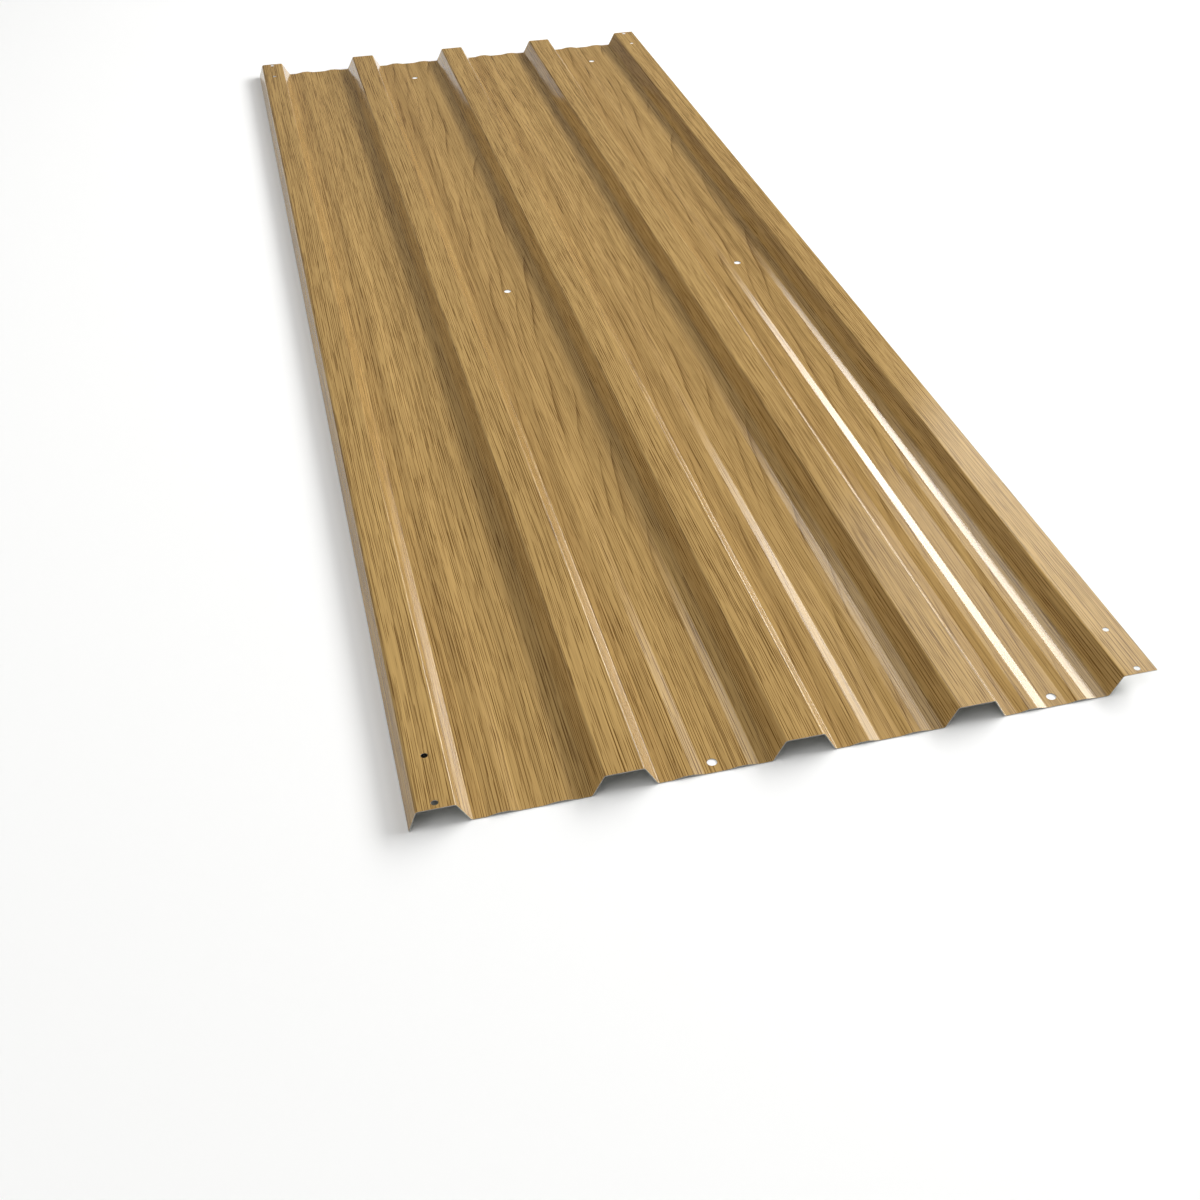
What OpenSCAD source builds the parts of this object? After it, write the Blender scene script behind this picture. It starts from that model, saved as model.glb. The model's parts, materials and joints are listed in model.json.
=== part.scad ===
// Trapezoidal roofing sheet: one roll-formed steel sheet, printed on top, lying on its pans.
// X runs across the ribs, Y along them and Z up. The origin is the middle of the sheet's
// footprint, on the surface that it lies on. All sizes are in millimetres.

/* [Sheet] */
// Length of the sheet along its ribs
sheet_l = 1290; // [600:5:3000]
// Thickness of the coated steel
sheet_t = 0.5; // [0.4:0.05:0.8]

/* [Ribs] */
// Number of ribs, with the free one at the right edge
rib_n = 5; // [3:1:9]
// Distance from each rib to the next
pitch = 106; // [92:1:140]
// Height of the crests above the pans
rib_h = 13.3; // [10:0.1:25]
// Width of the flat crest of an inner rib
crest_w = 23; // [14:0.5:32]
// Width of the flat crests at the sheet's two edges
edge_crest_w = 22; // [14:0.5:32]
// Sideways run of each sloping web
web_run = 7.5; // [4:0.1:12]
// Inner radius of the bends between crest, web and pan
bend_r = 1.5; // [0.6:0.1:2.4]

/* [Side lap] */
// Sideways run of the leg that hangs from the left crest
leg_run = 5; // [1:0.1:9]
// How far the leg hangs down from the crest
leg_h = 13; // [6:0.1:13]
// Inner radius of the bend that the leg hangs from
leg_bend_r = 2.2; // [0.6:0.1:3]

/* [Stiffening beads] */
// Number of raised beads along each pan
bead_n = 2; // [0:1:2]
// Width of a bead where it leaves the pan
bead_w = 18.8; // [10:0.1:24]
// Width of a bead's flat top
bead_top_w = 5.6; // [1:0.1:8]
// Height of a pan's first bead
bead_h = 1.3; // [0.5:0.1:2.5]
// Height of a pan's second bead
second_bead_h = 1; // [0.5:0.1:2.5]
// Flat strip between two beads
bead_gap = 13.4; // [8:0.1:20]
// Inner radius of the bends along a bead
bead_bend_r = 4; // [1:0.5:8]

/* [Fixing holes] */
// Diameter of the holes in the pans
pan_hole_d = 6; // [3:0.1:8]
// Distance of the front row of pan holes from the front edge
pan_hole_front = 8.6; // [6:0.1:60]
// Distance of the back row of pan holes from the back edge
pan_hole_back = 55; // [6:0.5:100]
// Diameter of the holes in the edge crests
crest_hole_d = 4; // [2:0.1:6]
// Distance of the outer crest holes from the sheet's ends
crest_hole_outer = 4.7; // [4:0.1:12]
// Distance of the inner crest holes from the sheet's ends
crest_hole_inner = 44.2; // [20:0.1:90]

/* [Hidden] */

// Colour of the printed top
oak = [0.70, 0.56, 0.33];
// Widest turn of a bend that one flat facet stands for, in degrees
facet_turn = 15;
// Number of sides of a round hole
hole_sides = 48;
// How far a cutter reaches past each face of the steel
cut = 1;

// Pans lie between the ribs, one fewer than there are ribs
pan_n = rib_n - 1;
pan_w = pitch - crest_w - 2 * web_run;
first_pan_x = leg_run + edge_crest_w + web_run;

// Heights of the steel's middle line
pan_z = sheet_t / 2;
crest_z = pan_z + rib_h;

// The section is drawn from the leg's foot at X = 0, then centred on the footprint
right_x = pan_x(pan_n - 1) + pan_w + web_run + edge_crest_w;
left_x = -sheet_t / 2 * sin(atan2(leg_h, leg_run));
middle_x = (left_x + right_x) / 2;

// Centre lines of the two edge crests
left_crest_x = leg_run + edge_crest_w / 2;
right_crest_x = right_x - edge_crest_w / 2;

// Bead sizes that follow from the rest
bead_heights = [bead_h, second_bead_h];
bead_slope_run = (bead_w - bead_top_w) / 2;
bead_pitch = bead_w + bead_gap;
bead_inset = (pan_w - bead_n * bead_w - (bead_n - 1) * bead_gap) / 2;

// Left end of pan i, counted from 0 at the left
function pan_x(i) = first_pan_x + i * pitch;

// Middle of pan i
function pan_middle(i) = pan_x(i) + pan_w / 2;

// Corners of the middle line, each as [x, z, inner radius of its bend]
function bead_corners(x, h) = [
    [x, pan_z, bead_bend_r],
    [x + bead_slope_run, pan_z + h, bead_bend_r],
    [x + bead_slope_run + bead_top_w, pan_z + h, bead_bend_r],
    [x + bead_w, pan_z, bead_bend_r]
];

function pan_corners(x) = [
    [x, pan_z, bend_r],
    for (k = [0 : 1 : bead_n - 1])
        each bead_corners(x + bead_inset + k * bead_pitch, bead_heights[k]),
    [x + pan_w, pan_z, bend_r]
];

function rib_corners(x) = [
    [x, crest_z, bend_r],
    [x + crest_w, crest_z, bend_r]
];

function section_corners() = [
    [0, crest_z - leg_h, 0],
    [leg_run, crest_z, leg_bend_r],
    [leg_run + edge_crest_w, crest_z, bend_r],
    for (i = [0 : pan_n - 2]) each [
        each pan_corners(pan_x(i)),
        each rib_corners(pan_x(i) + pan_w + web_run)
    ],
    each pan_corners(pan_x(pan_n - 1)),
    [right_x - edge_crest_w, crest_z, bend_r],
    [right_x, crest_z, 0]
];

// Direction from p to q, and the unit vector that points left of a direction
function heading(p, q) = atan2(q[1] - p[1], q[0] - p[0]);
function left_of(a) = [-sin(a), cos(a)];
function spot(p) = [p[0], p[1]];

// The bend at q as an arc, on the face that lies off to the left of the middle line
function bend(p, q, s, off) =
    let (
        from = heading(p, q),
        turn = heading(q, s) - from,
        side = sign(turn),
        mid_r = q[2] + sheet_t / 2,
        start = spot(q) - mid_r * tan(abs(turn) / 2) * [cos(from), sin(from)],
        centre = start + side * mid_r * left_of(from),
        n = max(2, ceil(abs(turn) / facet_turn))
    )
    [for (k = [0 : n]) centre - side * (mid_r - side * off) * left_of(from + turn * k / n)];

// One face of the sheet from the leg's foot to the free edge
function face(c, off) =
    let (last = len(c) - 1)
    [
        spot(c[0]) + off * left_of(heading(c[0], c[1])),
        for (i = [1 : last - 1]) each bend(c[i - 1], c[i], c[i + 1], off),
        spot(c[last]) + off * left_of(heading(c[last - 1], c[last]))
    ];

function reversed(list) = [for (i = [len(list) - 1 : -1 : 0]) list[i]];

// The roll-formed section, drawn with X across and Y up
module section() {
    c = section_corners();
    polygon(concat(face(c, sheet_t / 2), reversed(face(c, -sheet_t / 2))));
}

// A round cutter for a hole in steel whose middle lies at height z, or at most a bead above it
module hole(x, y, z, d) {
    translate([x, y, z - sheet_t / 2 - cut])
        cylinder(h = sheet_t + max(bead_heights) + 2 * cut, d = d, $fn = hole_sides);
}

// Every second pan is fixed down, near both ends and at mid-length
module pan_holes() {
    for (i = [1 : 2 : pan_n - 1])
        for (y = [pan_hole_front - sheet_l / 2, 0, sheet_l / 2 - pan_hole_back])
            hole(pan_middle(i), y, pan_z, pan_hole_d);
}

// Both edge crests are fixed through the side laps, twice at each end
module crest_holes() {
    for (x = [left_crest_x, right_crest_x])
        for (inset = [crest_hole_outer, crest_hole_inner])
            for (end = [-1, 1])
                hole(x, end * (sheet_l / 2 - inset), crest_z, crest_hole_d);
}

module sheet() {
    color(oak)
        translate([-middle_x, 0, 0])
            difference() {
                rotate([90, 0, 0])
                    linear_extrude(height = sheet_l, center = true)
                        section();
                pan_holes();
                crest_holes();
            }
}

sheet();
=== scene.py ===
# %% [markdown]
# # A trapezoidal roofing sheet, dressed in its printed oak coat
#
# The real object starts as a flat strip of galvanised steel, half a millimetre thick, with a
# photographic oak print under a glossy clear coat on top and a plain back coat below. Rollers
# then fold five ribs and eight shallow stiffening beads into it, and a press punches the holes.
#
# We follow the same order: fold the section, draw it out to length, punch it, give it its
# thickness, and paint it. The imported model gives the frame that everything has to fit.

# %% Load the frame
import json
import math

import bmesh
import bpy
import numpy as np
from mathutils import Matrix, Vector


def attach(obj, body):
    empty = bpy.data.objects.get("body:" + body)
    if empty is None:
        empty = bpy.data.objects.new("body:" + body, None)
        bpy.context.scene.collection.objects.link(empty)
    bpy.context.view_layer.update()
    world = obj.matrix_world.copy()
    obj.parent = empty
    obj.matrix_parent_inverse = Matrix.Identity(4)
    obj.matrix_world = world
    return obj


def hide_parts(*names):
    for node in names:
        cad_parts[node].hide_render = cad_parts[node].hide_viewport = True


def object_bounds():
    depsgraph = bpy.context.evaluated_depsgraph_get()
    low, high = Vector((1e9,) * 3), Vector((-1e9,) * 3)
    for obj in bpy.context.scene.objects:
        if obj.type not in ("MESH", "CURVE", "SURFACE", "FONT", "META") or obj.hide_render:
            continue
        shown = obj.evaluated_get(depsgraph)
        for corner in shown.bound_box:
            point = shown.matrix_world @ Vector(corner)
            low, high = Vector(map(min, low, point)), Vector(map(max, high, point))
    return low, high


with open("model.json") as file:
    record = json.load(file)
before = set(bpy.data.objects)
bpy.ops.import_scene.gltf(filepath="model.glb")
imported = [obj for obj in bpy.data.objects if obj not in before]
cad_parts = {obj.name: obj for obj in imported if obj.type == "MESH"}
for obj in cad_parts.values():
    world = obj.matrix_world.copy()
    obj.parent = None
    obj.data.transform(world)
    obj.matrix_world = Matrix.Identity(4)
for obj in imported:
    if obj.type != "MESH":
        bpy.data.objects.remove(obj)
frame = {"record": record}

cad_low, cad_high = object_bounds()
print("the packed sheet reaches from", tuple(cad_low), "to", tuple(cad_high))

# %% [markdown]
# ## Sizes
#
# Blender works in metres, and a roll former's drawing is in millimetres, so every size of the
# sheet is written as millimetres times `MM`. The length and the hole positions come from the
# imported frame. The section's own sizes aren't in the frame, so they are repeated here.

# %% Name the sizes
MM = 0.001

sheet_length = cad_high.y - cad_low.y
steel = 0.5 * MM
rib_pitch = 106 * MM
rib_height = 13.3 * MM
crest_width = 23 * MM
edge_crest_width = 22 * MM
web_run = 7.5 * MM
leg_run = 5 * MM
leg_height = 13 * MM
pan_count = 4
pan_width = rib_pitch - crest_width - 2 * web_run

bead_width = 18.8 * MM
bead_top_width = 5.6 * MM
bead_heights = (1.3 * MM, 1.0 * MM)
bead_gap = 13.4 * MM
bead_slope_run = (bead_width - bead_top_width) / 2
bead_inset = (pan_width - 2 * bead_width - bead_gap) / 2

# Inner radii of the bends
bend_radii = {"rib": 1.5 * MM, "leg": 2.2 * MM, "left bead": 4 * MM, "right bead": 4 * MM}

print(f"each pan is {pan_width / MM:.0f} mm wide, and its beads start {bead_inset / MM:.1f} mm in")

# %% [markdown]
# ## The camera
#
# The photograph was taken from the front left, looking down at about 37 degrees. A camera could
# be aimed by eye, but its lens and its place come from a fit of the sheet's corners and holes,
# so that they fall close to where the photograph has them. The point that the lens looks at
# isn't the middle of the picture, and the two shifts make up for that.
#
# A camera looks along its own -Z. It is first rolled a little about that line, then tipped up
# from straight down, then turned about the vertical.

# %% Set up the camera
camera_place = Vector((-244.8, -1280.4, 615.8)) * MM
camera_down = math.radians(36.72)
camera_turn = math.radians(15.19)
camera_roll = math.radians(-0.456)
image_side = 1200
focal_pixels = 1586.5
centre_pixel = (677.7, 602.9)
film_width = 36

camera_data = bpy.data.cameras.new("camera")
camera = bpy.data.objects.new("camera", camera_data)
bpy.context.scene.collection.objects.link(camera)
bpy.context.scene.camera = camera

camera_data.sensor_width = film_width
camera_data.lens = film_width * focal_pixels / image_side
camera_data.shift_x = -(centre_pixel[0] - image_side / 2) / image_side
camera_data.shift_y = (centre_pixel[1] - image_side / 2) / image_side
camera_data.clip_start = 0.01
camera_data.clip_end = 200
camera.matrix_world = (
    Matrix.Translation(camera_place)
    @ Matrix.Rotation(-camera_turn, 4, "Z")
    @ Matrix.Rotation(math.pi / 2 - camera_down, 4, "X")
    @ Matrix.Rotation(camera_roll, 4, "Z")
)
print(f"lens {camera_data.lens:.1f} mm, shift {camera_data.shift_x:.4f}, {camera_data.shift_y:.4f}")

# %% [markdown]
# ## Folding the section
#
# A section like this could be drawn as a curve, but then the bends would be hard to control. A
# mesh is closer to the roll former: we walk across the strip from the hanging leg to the free
# edge, one step for each flat stretch, and each step extrudes the last vertex. The walk follows
# the middle of the steel, so that the thickness can grow to both sides of it.
#
# Each vertex between two steps is a crease, and we note the kind of bend that belongs there.

# %% Walk across the strip
pan_level = steel / 2
crest_level = pan_level + rib_height


def pan_steps():
    """The steps from the foot of one web to the foot of the next, over both beads."""
    steps = [(bead_inset, 0, "rib")]
    beads = zip(("left bead", "right bead"), bead_heights, (bead_gap, bead_inset))
    for bend, height, space in beads:
        steps += [
            (bead_slope_run, height, bend),
            (bead_top_width, 0, bend),
            (bead_slope_run, -height, bend),
            (space, 0, bend),
        ]
    return steps


def section_steps():
    """Every step of the walk, as (run, rise, bend at the crease that it starts from)."""
    steps = [(leg_run, leg_height, None), (edge_crest_width, 0, "leg")]
    for pan in range(pan_count):
        last = pan == pan_count - 1
        steps.append((web_run, -rib_height, "rib"))
        steps += pan_steps()
        steps.append((web_run, rib_height, "rib"))
        steps.append((edge_crest_width if last else crest_width, 0, "rib"))
    return steps


walk = section_steps()
walk_width = sum(run for run, rise, bend in walk)

# The leg's left face reaches a little beyond its middle line, and the two sides of the sheet,
# that face and the free edge, lie equally far from X = 0
leg_lean = math.atan2(leg_height, leg_run)
foot_x = -(walk_width - steel / 2 * math.sin(leg_lean)) / 2

shell = bmesh.new()
tip = shell.verts.new((foot_x, cad_low.y, crest_level - leg_height))
crease_verts = {bend: [] for bend in bend_radii}
for run, rise, bend in walk:
    if bend is not None:
        crease_verts[bend].append(tip)
    tip = bmesh.ops.extrude_vert_indiv(shell, verts=[tip])["verts"][0]
    bmesh.ops.translate(shell, verts=[tip], vec=(run, 0, rise))

print(f"{len(walk)} steps, {walk_width / MM:.1f} mm wide, free edge at {tip.co.x / MM:.2f} mm")

# %% [markdown]
# ## Drawing it out to length
#
# One extrusion of the whole chain turns every crease vertex into a crease edge that runs the
# length of the sheet. Those edges then take their bends: a bevel whose offset is the distance
# from the crease to where the bend begins, which is the radius at the middle of the steel times
# the tangent of half the turn. The beads' bends are wide and barely turn, and the ribs' bends
# are tight.

# %% Extrude the section and round its bends
drawn = bmesh.ops.extrude_edge_only(shell, edges=shell.edges[:])
far_verts = [item for item in drawn["geom"] if isinstance(item, bmesh.types.BMVert)]
bmesh.ops.translate(shell, verts=far_verts, vec=(0, sheet_length, 0))

turns = {
    "rib": math.atan2(rib_height, web_run),
    "leg": leg_lean,
    "left bead": math.atan2(bead_heights[0], bead_slope_run),
    "right bead": math.atan2(bead_heights[1], bead_slope_run),
}
bend_facets = {"rib": 6, "leg": 8, "left bead": 4, "right bead": 4}
# The bevel profile that is an arc of a circle
circular = 0.5


def crease_edges(verts):
    """The long edges that start at these vertices of the front end."""
    return [edge for vert in verts for edge in vert.link_edges
            if abs(edge.verts[0].co.y - edge.verts[1].co.y) > sheet_length / 2]


for bend, verts in crease_verts.items():
    tangent = (bend_radii[bend] + steel / 2) * math.tan(turns[bend] / 2)
    bmesh.ops.bevel(
        shell, geom=crease_edges(verts), affect="EDGES", offset=tangent, offset_type="OFFSET",
        segments=bend_facets[bend], profile=circular, material=-1, clamp_overlap=False,
    )
print(f"{len(shell.faces)} long faces after the bends")

# %% [markdown]
# ## Punching the holes
#
# A Boolean would do this, but it leaves long slivers across the pans. Here each hole first gets
# a square window: four cuts that touch only the face round the hole. The window's face goes, its
# edges are split into short ones, and these are extruded inwards, each new vertex straight
# towards the middle until it lies on the circle.

# %% Punch the holes
hole_sides = 32
window_margin = 1.6 * MM


def face_at(mesh, x, y):
    """The face that covers a point of the plan."""
    for face in mesh.faces:
        xs = [vert.co.x for vert in face.verts]
        ys = [vert.co.y for vert in face.verts]
        if min(xs) <= x <= max(xs) and min(ys) <= y <= max(ys):
            return face
    raise ValueError("no face there")


def punch(mesh, x, y, radius):
    """Cuts a round hole into the flat face at (x, y)."""
    half = radius + window_margin
    for place, normal in (
        ((x, y - half, 0), (0, 1, 0)),
        ((x, y + half, 0), (0, 1, 0)),
        ((x - half, y, 0), (1, 0, 0)),
        ((x + half, y, 0), (1, 0, 0)),
    ):
        face = face_at(mesh, x, y)
        parts = [face, *face.edges, *face.verts]
        bmesh.ops.bisect_plane(mesh, geom=parts, plane_co=place, plane_no=normal)
    window = face_at(mesh, x, y)
    centre = Vector((x, y, window.verts[0].co.z))
    border = window.edges[:]
    bmesh.ops.delete(mesh, geom=[window], context="FACES_ONLY")
    cuts_per_side = hole_sides // 4 - 1
    split = bmesh.ops.bisect_edges(mesh, edges=border, cuts=cuts_per_side)
    border = set(border) | {e for e in split["geom_split"] if isinstance(e, bmesh.types.BMEdge)}
    grown = bmesh.ops.extrude_edge_only(mesh, edges=list(border))
    for item in grown["geom"]:
        if isinstance(item, bmesh.types.BMVert):
            item.co = centre + (item.co - centre).normalized() * radius


mounts = {mount["name"]: mount for mount in frame["record"]["mounts"]}


def hole_places(name):
    """The centres of a bolt pattern's holes, in plan."""
    mount = mounts[name]
    x, y, z = mount["pos_m"]
    half_x = mount["dims"]["spacing_x_mm"] * MM / 2
    half_y = mount["dims"].get("spacing_y_mm", 0) * MM / 2
    rows = (-half_y, half_y) if half_y else (0,)
    return [(x + side, y + row) for side in (-half_x, half_x) for row in rows]


patterns = ("pan_holes_ends", "pan_holes_middle", "crest_holes_outer", "crest_holes_inner")
for name in patterns:
    hole_radius = mounts[name]["dims"]["hole_r_mm"] * MM
    for x, y in hole_places(name):
        punch(shell, x, y, hole_radius)
    print(name, "punched at", [(round(x / MM), round(y / MM)) for x, y in hole_places(name)])

# %% [markdown]
# ## Laying the print out
#
# The print went on while the strip was still flat, so it follows the strip over every bend. The
# UV map does the same: U is the distance across the flat strip and V the distance along it, in
# metres. X grows all the way across the section, so a table of X against the distance walked,
# read off the front end, gives U for any point, also for the new points round the holes.

# %% Unroll the section into a UV map
# The printed side has to face up
bmesh.ops.recalc_face_normals(shell, faces=shell.faces[:])
if sum(face.normal.z for face in shell.faces) < 0:
    bmesh.ops.reverse_faces(shell, faces=shell.faces[:])

# The front end's vertices, from left to right
hairline = 0.001 * MM
front = [vert.co.copy() for vert in shell.verts if vert.co.y < cad_low.y + hairline]
front.sort(key=lambda place: place.x)
front_x = np.array([place.x for place in front])
walked = np.cumsum([0] + [(b - a).length for a, b in zip(front, front[1:])])
strip_width = walked[-1]

unrolled = shell.loops.layers.uv.new("unrolled")
for face in shell.faces:
    face.smooth = True
    for loop in face.loops:
        spot = loop.vert.co
        loop[unrolled].uv = (np.interp(spot.x, front_x, walked), spot.y - cad_low.y)

sheet_mesh = bpy.data.meshes.new("printed_sheet")
shell.to_mesh(sheet_mesh)
shell.free()
printed_sheet = bpy.data.objects.new("printed_sheet", sheet_mesh)
bpy.context.scene.collection.objects.link(printed_sheet)
print(f"the flat strip was {strip_width / MM:.1f} mm wide; {len(sheet_mesh.polygons)} faces")

# %% [markdown]
# ## Giving the steel its thickness
#
# Three modifiers finish the shape. Solidify grows the steel to both sides of the middle and
# gives the underside and the cut edges materials of their own. Bevel breaks the sheared edges,
# which a shear leaves slightly round. Weighted Normal lets the wide flats keep their own shade
# right up to the bends, so that the flats look flat and only the bends look round.

# %% Thicken, round the cut edges and weight the normals
# The oak print is the mesh's first material, and these two come after it
BACK_SLOT = 1
EDGE_SLOT = 2
edge_break = 0.08 * MM
# From one face to the next, a bend turns by less than this, and a cut edge by more
least_cut_turn = math.radians(60)

thickness = printed_sheet.modifiers.new("thickness", "SOLIDIFY")
thickness.thickness = steel
thickness.offset = 0
thickness.use_even_offset = True
thickness.material_offset = BACK_SLOT
thickness.material_offset_rim = EDGE_SLOT

sheared = printed_sheet.modifiers.new("sheared_edges", "BEVEL")
sheared.width = edge_break
sheared.segments = 2
sheared.limit_method = "ANGLE"
sheared.angle_limit = least_cut_turn

shade = printed_sheet.modifiers.new("flat_shading", "WEIGHTED_NORMAL")
shade.mode = "FACE_AREA"
shade.weight = 50
print("modifiers, in order:", [modifier.name for modifier in printed_sheet.modifiers])

# %% [markdown]
# ## Writing shader maths in Python
#
# Node trees for a printed grain are mostly arithmetic. `Wire` wraps one output socket, and its
# operators add Math nodes, so a formula can be written as a formula. `Paint` is one material: it
# adds any other node from its type, its settings and the values or wires of its inputs.

# %% A socket that does arithmetic
class Wire:
    """One output socket. Each operator adds a Math node and returns its output."""

    def __init__(self, paint, socket):
        self.paint = paint
        self.socket = socket

    def math(self, operation, *others):
        """Adds a Math node with this wire as its first input and the others after it."""
        values = dict(enumerate((self, *others)))
        return self.paint.node("ShaderNodeMath", {"operation": operation}, values)

    def __add__(self, other):
        return self.math("ADD", other)

    def __sub__(self, other):
        return self.math("SUBTRACT", other)

    def __rsub__(self, other):
        return self.paint.node("ShaderNodeMath", {"operation": "SUBTRACT"}, {0: other, 1: self})

    def __mul__(self, other):
        return self.math("MULTIPLY", other)

    def __truediv__(self, other):
        return self.math("DIVIDE", other)

    def __pow__(self, other):
        return self.math("POWER", other)

    def __abs__(self):
        return self.math("ABSOLUTE")

    __radd__ = __add__
    __rmul__ = __mul__


print("a Wire takes +, -, *, /, ** and abs, and each of them adds a Math node")

# %% A material that adds nodes
# A Mix node has sockets for every type of data, and these are the ones that mix colours
MIX_FACTOR, MIX_FIRST, MIX_SECOND = 0, 6, 7
MIX_RESULT = 2


class Paint:
    """One node material, with a Principled shader as its output."""

    def __init__(self, name):
        self.material = bpy.data.materials.new(name)
        self.material.use_nodes = True
        self.tree = self.material.node_tree
        self.shader = self.tree.nodes["Principled BSDF"]

    def node(self, kind, settings, values, output=0):
        """Adds a node, sets it up, fills its inputs by name or number, and returns one output."""
        made = self.tree.nodes.new(kind)
        for name, value in settings.items():
            setattr(made, name, value)
        self.fill(made, values)
        return Wire(self, made.outputs[output])

    def fill(self, made, values):
        """Sets or links a node's inputs."""
        for key, value in values.items():
            if isinstance(value, Wire):
                self.tree.links.new(value.socket, made.inputs[key])
            else:
                made.inputs[key].default_value = value

    def noise(self, place, detail, roughness=0.5):
        """Smooth noise around 0.5, with features about one unit wide."""
        values = {"Vector": place, "Scale": 1.0, "Detail": detail, "Roughness": roughness}
        return self.node("ShaderNodeTexNoise", {}, values)

    def vector(self, x, y, z):
        """A place made of three numbers or wires."""
        return self.node("ShaderNodeCombineXYZ", {}, {"X": x, "Y": y, "Z": z})

    def step(self, value, low, high):
        """0 at low and beyond it, 1 at high and beyond it, and a smooth step between the two."""
        values = {"Value": value, "From Min": low, "From Max": high}
        return self.node("ShaderNodeMapRange", {"interpolation_type": "SMOOTHSTEP"}, values)

    def mix(self, factor, first, second):
        """Mixes two colours."""
        values = {MIX_FACTOR: factor, MIX_FIRST: first, MIX_SECOND: second}
        return self.node("ShaderNodeMix", {"data_type": "RGBA"}, values, MIX_RESULT)

    def bump(self, height, distance):
        """A normal that leans as the slopes of a height would, when 1 of it is this distance."""
        return self.node("ShaderNodeBump", {}, {"Height": height, "Distance": distance})


def linear(red, green, blue):
    """A colour as a screen shows it, from 0 to 255, as the linear numbers that a shader takes."""
    shares = [level / 255 for level in (red, green, blue)]
    return (*[s / 12.92 if s <= 0.04045 else ((s + 0.055) / 1.055) ** 2.4 for s in shares], 1)


print("a mid oak is", tuple(round(level, 3) for level in linear(170, 138, 85)))

# %% [markdown]
# ## The oak print
#
# The coat imitates flat-sawn oak boards, one board to each pan and the rib beside it. Three
# things make such wood:
#
# - growth rings, which a flat cut turns into long arches over the heart of each board and into
#   nearly straight lines towards its sides,
# - pores, thin dark dashes that always run along the trunk,
# - slow changes of tone from one stretch of wood to the next.
#
# A picture of a board could be laid on, but it would blur close up. Noise along the unrolled
# strip gives the same kinds of line, sharp from any distance, so each of the three gets a
# formula in millimetres.
#
# A ring is a circle round the heart of the trunk, so its radius is the square root of two
# squares: the distance aside from the heart, and the depth of the heart below the board. Here
# the heart sinks deeper away from the camera, so the rings close into arches that point there.

# %% Find the grain's coordinates
oak = Paint("oak_print")
strip_place = oak.node("ShaderNodeUVMap", {"uv_map": "unrolled"}, {})
in_mm = oak.node("ShaderNodeVectorMath", {"operation": "SCALE"}, {0: strip_place, "Scale": 1 / MM})
across = oak.node("ShaderNodeSeparateXYZ", {}, {0: in_mm}, "X")
along = oak.node("ShaderNodeSeparateXYZ", {}, {0: in_mm}, "Y")


def pan_centre_mm(pan):
    """How far across the flat strip the centre line of a pan lies, in millimetres."""
    x = foot_x + leg_run + edge_crest_width + web_run + pan_width / 2 + pan * rib_pitch
    return float(np.interp(x, front_x, walked)) / MM


def streaks(place, width, length, seed, detail, roughness=0.5):
    """Noise with features this wide across a place and this long along the strip, in mm."""
    return oak.noise(oak.vector(place / width, along / length, seed), detail, roughness)


# Fibres run along the trunk and wander a few millimetres over an arm's length
wander = 8
drift = streaks(across, width=80, length=400, seed=0, detail=0) - 0.5
fibre = across + drift * wander

# The heart of a board lies right of its pan's middle, and right of it the rings crowd together
heart_offset = 43
board_left_of_heart = 78
crowding = 1.5
board_width = pan_centre_mm(1) - pan_centre_mm(0)
board_right_of_heart = board_width - board_left_of_heart
heart = pan_centre_mm(0) + heart_offset
from_heart = (fibre - heart).math("WRAP", board_right_of_heart, -board_left_of_heart)
aside = from_heart + from_heart.math("MAXIMUM", 0) * crowding

# The heart comes to the surface this far in front of the sheet, and from there the square of
# its depth grows by so many square millimetres with each millimetre
ahead = 200
sinking = 6
ring_wander = 9
even_ring = (aside * aside + (along + ahead) * sinking) ** 0.5
ring = even_ring + streaks(even_ring, width=12, length=190, seed=4, detail=1) * ring_wander
print(f"boards are {board_width:.0f} mm wide, and the first one's heart is {heart:.0f} mm across")

# %% [markdown]
# ## The figure
#
# Not every board is cut near its heart, so only some of them show the arches. On those, a dark
# line ends each year's growth. A wave could draw such lines, but both their sides would be alike.
# Here the share of a ring, which runs from 0 to 1, is raised to a high power. That stays near 0
# for most of the ring and then shoots up, so the line is thin and has one sharp side, as in wood.
# It comes and goes along its length, as the ink of a print does.

# %% Draw the arched figure
# Pans that show the figure, counted from 0, with where along the strip it starts to appear and
# where it starts to fade, in millimetres
figured_boards = ((1, 120, 1400), (2, -200, 560), (3, -200, 1400))
figure_left_of_pan = 5
full_figure = 26
outside_figure = 40
fade_length = 180


def figure_on(pan, start, end):
    """1 where one pan shows the figure, fading to 0 round it."""
    from_its_middle = abs(across - pan_centre_mm(pan) + figure_left_of_pan)
    beside = oak.step(from_its_middle, outside_figure, full_figure)
    begun = oak.step(along, start, start + fade_length)
    not_ended = oak.step(along, end + fade_length, end)
    return beside * begun * not_ended


figured = sum(figure_on(*board) for board in figured_boards)

ring_spacing = 5
ring_sharpness = 7
ring_share = (ring / ring_spacing).math("FRACT")
ink = streaks(ring, width=6, length=130, seed=5, detail=0)
shown = oak.step(ink, low=0.40, high=0.60)
late = (ring_share ** ring_sharpness) * shown * figured
print(f"{len(figured_boards)} of {pan_count} pans show the figure")

# %% [markdown]
# ## The pores
#
# Oak's wide pores are cut lengthwise, so they show as thin dark dashes of different lengths and
# widths. Drawn-out noise alone would make all of them soft and alike. Here they stand in narrow
# lanes along the fibres. Each lane draws a random number of its own, which picks the stretch of
# noise that says where its dashes begin and end, and which moves the dashes off the lane's
# middle, so that the lanes themselves don't show.

# %% Set the pores in their lanes
# How far apart two lanes can lie in the noise, across it and along it
lanes_apart = 1000
lanes_slide = 50
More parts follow.
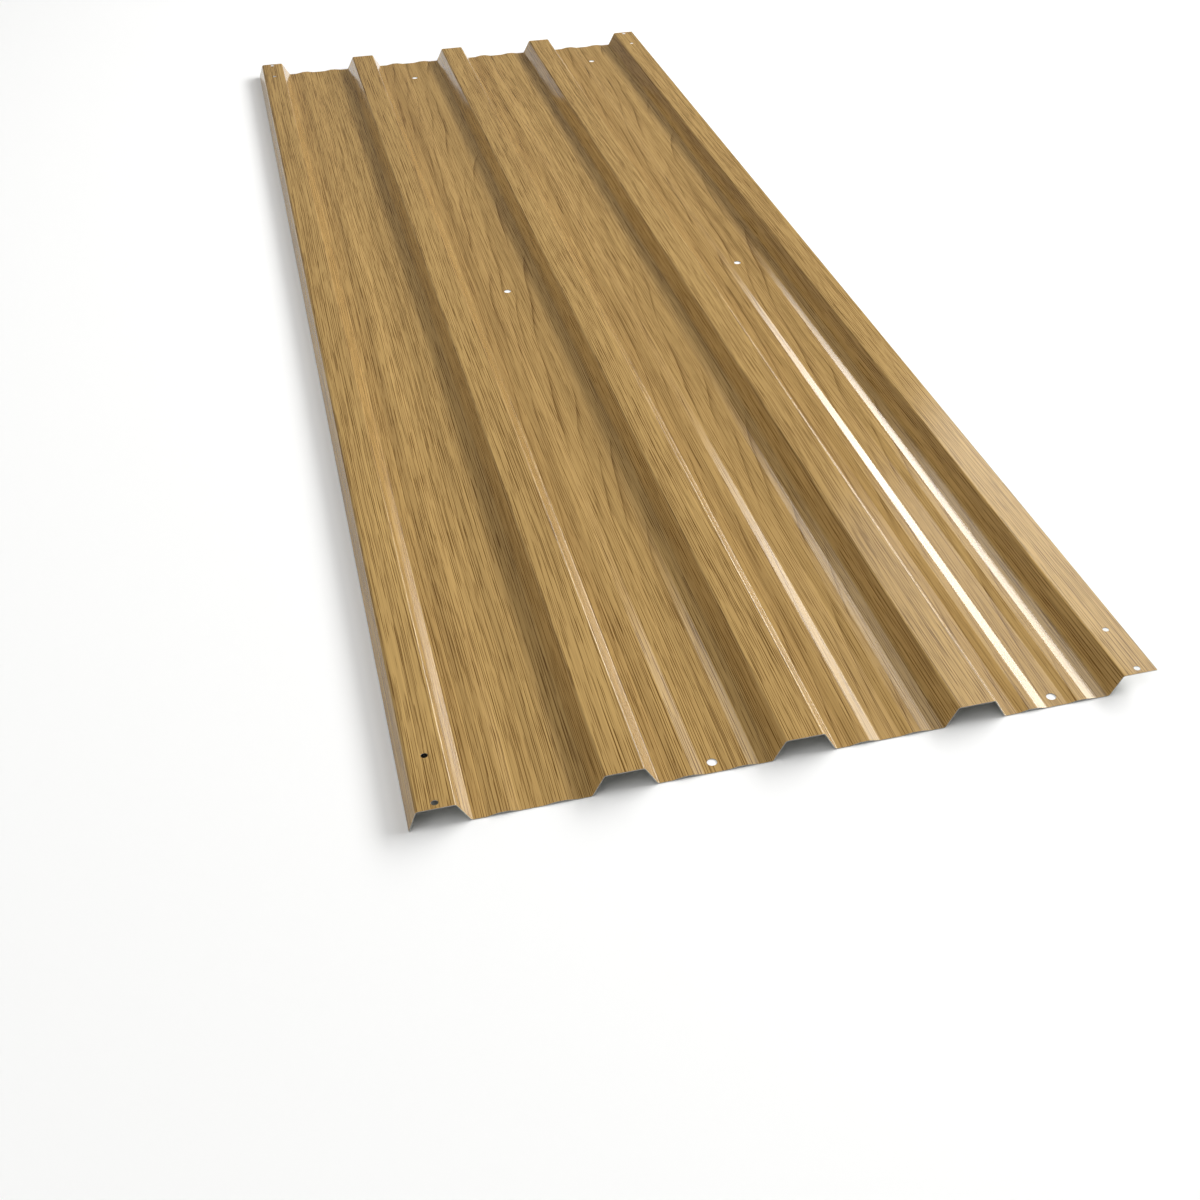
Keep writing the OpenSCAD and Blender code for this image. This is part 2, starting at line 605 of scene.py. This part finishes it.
# As shares of a lane's width: where the first line of dashes can lie and how far beyond that the
# last one, and how far from its own middle a line is still full and has faded to nothing
line_from = 0.3
line_range = 0.4
line_full = 0.04
line_nothing = 0.22


def dashes(width, length, seed, low, high):
    """Dashes in lanes along the fibres: none where the noise is below low, full above high."""
    lanes = fibre / width
    white = {"noise_dimensions": "1D"}
    own = oak.node("ShaderNodeTexWhiteNoise", white, {"W": lanes.math("FLOOR") + seed})
    pattern = oak.noise(oak.vector(own * lanes_apart, along / length + own * lanes_slide, seed), 0)
    from_line = abs(lanes.math("FRACT") - line_from - own * line_range)
    return oak.step(pattern, low, high) * oak.step(from_line, line_nothing, line_full)


long_pores = dashes(width=1.5, length=85, seed=7, low=0.38, high=0.60)
wide_pores = dashes(width=2.1, length=45, seed=5, low=0.54, high=0.64)
short_pores = dashes(width=1.1, length=32, seed=3, low=0.50, high=0.62)
long_depth = 0.58
wide_depth = 0.40
short_depth = 0.50
pores = long_pores * long_depth + wide_pores * wide_depth + short_pores * short_depth
print(f"the pores bring the print to {len(oak.tree.nodes)} nodes")

# %% [markdown]
# ## Mixing the print
#
# The layers add up to one number, from 0 for the darkest brown to 1 for the palest yellow. It
# mixes two inks, so that the print never leaves the colours of oak. The gloss is the clear
# coat's: smooth, of an ordinary lacquer's refraction, and warm in what it mirrors.

# %% Mix the layers into the oak print
dark_ink = linear(98, 66, 27)
pale_ink = linear(206, 170, 106)
plain_shade = 0.68
tone_depth = 0.38
fibre_depth = 0.68
late_depth = 0.45
figure_depth = 0.04
grain_lost_in_figure = 0.38

tone = streaks(fibre, width=9, length=450, seed=1, detail=2)
fibres = streaks(fibre, width=0.9, length=200, seed=2, detail=1, roughness=0.6)
grain = (fibres - 0.5) * fibre_depth - pores
light = plain_shade + (tone - 0.5) * tone_depth + grain * (1 - figured * grain_lost_in_figure)
ink_share = light - late * late_depth - figured * figure_depth

oak.fill(oak.shader, {
    "Base Color": oak.mix(ink_share, dark_ink, pale_ink),
    "Roughness": 0.14,
    "IOR": 1.5,
    "Specular Tint": (1, 0.9, 0.7, 1),
})
sheet_mesh.materials.append(oak.material)
print(oak.material.name, "has", len(oak.tree.nodes), "nodes")

# %% [markdown]
# ## The back coat and the cut edges
#
# The underside hardly shows on a roof, so it only gets a thin grey protective coat, slightly
# mottled and matt. The sheared edges show the bare steel between its two coats of zinc. One flat
# colour would do from afar, but close up a little noise keeps them from looking like plastic.
# Neither follows the print, so the noise is laid out in the sheet's own space, in metres.

# %% Paint the back and the edges
def own_noise(paint, features_per_metre, detail):
    """Noise in the sheet's own space, with so many features to a metre along X, Y and Z."""
    place = paint.node("ShaderNodeTexCoord", {}, {}, "Object")
    values = {"Vector": place, "Scale": features_per_metre}
    return paint.noise(paint.node("ShaderNodeMapping", {}, values), detail)


back = Paint("back_coat")
mottle = own_noise(back, (60, 8, 60), 4)
fine = own_noise(back, (900, 500, 900), 2)
fine_height = 0.01 * MM
back_shade = mottle * 0.7 + fine * 0.3
back.fill(back.shader, {
    "Base Color": back.mix(back_shade, linear(150, 150, 146), linear(196, 196, 190)),
    "Roughness": 0.42 + mottle * 0.2,
    "Normal": back.bump(fine, fine_height),
})

edge = Paint("sheared_steel")
shear = own_noise(edge, (2500, 2500, 300), 3)
edge.fill(edge.shader, {
    "Base Color": edge.mix(shear, linear(120, 118, 112), linear(200, 198, 190)),
    "Metallic": 0.9,
    "Roughness": 0.3 + shear * 0.3,
})

for finish in (back, edge):
    sheet_mesh.materials.append(finish.material)
    print(finish.material.name, "has", len(finish.tree.nodes), "nodes")

# %% [markdown]
# ## The floor
#
# The floor is plain and pale. A studio would curve it up into a backdrop, but this camera looks
# down so far that it sees no horizon, so one wide flat face is enough. It lies a hair's breadth
# below the pans, so that no two faces share a plane.

# %% Lay the floor
floor_half_width = 30
floor_drop = 0.05 * MM
floor_mesh = bpy.data.meshes.new("floor")
floor_shape = bmesh.new()
bmesh.ops.create_grid(floor_shape, x_segments=1, y_segments=1, size=floor_half_width)
bmesh.ops.translate(floor_shape, verts=floor_shape.verts[:], vec=(0, 0, -floor_drop))
floor_shape.to_mesh(floor_mesh)
floor_shape.free()
floor = bpy.data.objects.new("floor", floor_mesh)
bpy.context.scene.collection.objects.link(floor)
pale = Paint("pale_floor")
pale.fill(pale.shader, {"Base Color": (0.95, 0.95, 0.94, 1), "Roughness": 0.9})
floor_mesh.materials.append(pale.material)
print("the floor's corners:", [tuple(round(c, 5) for c in v.co) for v in floor_mesh.vertices])

# %% [markdown]
# ## The lamps
#
# A picture of a studio could light the sheet, but a lamp can be hung just where a bead has to
# mirror it. The key light is a long strip lamp to the right of the sheet, parallel to the ribs.
# It decides most of what the eye sees: the soft shadow to the left of each rib, and the white
# lines where the right-hand slopes of the beads mirror it. Those lines fade away from the camera
# because the lamp fades at its far end, which takes three lamps of different reach, one just
# behind the other.
#
# Two dimmer strips above it lie where the flats at the front right mirror them, and the lower,
# brighter one is what the free crest mirrors. A broad lamp overhead and one at the left fill the
# shadows, together with a dim white sky.

# %% Hang the lamps
def lamp(name, place, target, width, length, radiance):
    """A rectangular lamp of the given radiance. It faces a target, its length as near Y as can be."""
    data = bpy.data.lights.new(name, "AREA")
    data.shape = "RECTANGLE"
    data.size = width
    data.size_y = length
    data.energy = radiance * math.pi * width * length
    made = bpy.data.objects.new(name, data)
    bpy.context.scene.collection.objects.link(made)
    away = (Vector(place) - Vector(target)).normalized()
    side = Vector((0, 1, 0)).cross(away).normalized()
    up = away.cross(side)
    made.matrix_world = Matrix.Translation(place) @ Matrix((side, up, away)).transposed().to_4x4()
    made.visible_camera = False


def strip(name, low, high, front, back, distance, radiance):
    """A lamp parallel to the ribs, seen from the sheet's middle between two heights in degrees."""
    middle = math.radians((low + high) / 2)
    half = math.radians((high - low) / 2)
    x = distance * math.cos(middle)
    y = (front + back) / 2
    z = distance * math.sin(middle)
    lamp(name, (x, y, z), (0, y, 0), 2 * distance * math.tan(half), back - front, radiance)


# Places and distances are in metres. Heights are in degrees, from 0 level with the floor on the
# right, over 90 straight above, to 180 level with it on the left
strip_front = -1.2
key_low = 23
key_radiance = 3.5
key_distance = 3.2
key_spacing = 0.03
key_heights_and_reaches = ((43, 3.7), (43, 4.3), (37, 5.1))
for number, (high, reach) in enumerate(key_heights_and_reaches):
    distance = key_distance + key_spacing * number
    strip(f"key_{number}", key_low, high, strip_front, reach, distance, key_radiance)

glow_distance = 3.3
glows = (
    {"low": 47, "high": 51, "back": 3.7, "radiance": 2.8},
    {"low": 51, "high": 61, "back": 3.5, "radiance": 1.6},
)
for number, glow in enumerate(glows):
    strip(f"glow_{number}", front=strip_front, distance=glow_distance, **glow)

lamp("overhead", place=(-0.6, -1.5, 4), target=(0, -0.4, 0), width=3.5, length=3.5, radiance=1.42)
strip("left_fill", low=120, high=165, front=-3, back=2, distance=3.2, radiance=0.65)
print("lamps:", [data.name for data in bpy.data.lights])

# %% [markdown]
# ## The sky
#
# A picture of a real sky would add reflections that the photograph doesn't have, so the world is
# one flat dim white, which keeps the deepest shadows open. The view transform is the plain one,
# which adds no look of its own to the colours.

# %% Set the sky and the view
sky_strength = 0.14
world = bpy.data.worlds.new("surroundings")
bpy.context.scene.world = world
world.use_nodes = True
sky = world.node_tree.nodes["Background"]
sky.inputs["Color"].default_value = (1, 1, 1, 1)
sky.inputs["Strength"].default_value = sky_strength
bpy.context.scene.view_settings.view_transform = "Standard"
print(f"the sky has a strength of {sky_strength}")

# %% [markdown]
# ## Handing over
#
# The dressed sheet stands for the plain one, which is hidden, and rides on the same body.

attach(printed_sheet, "root")
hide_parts("sheet")
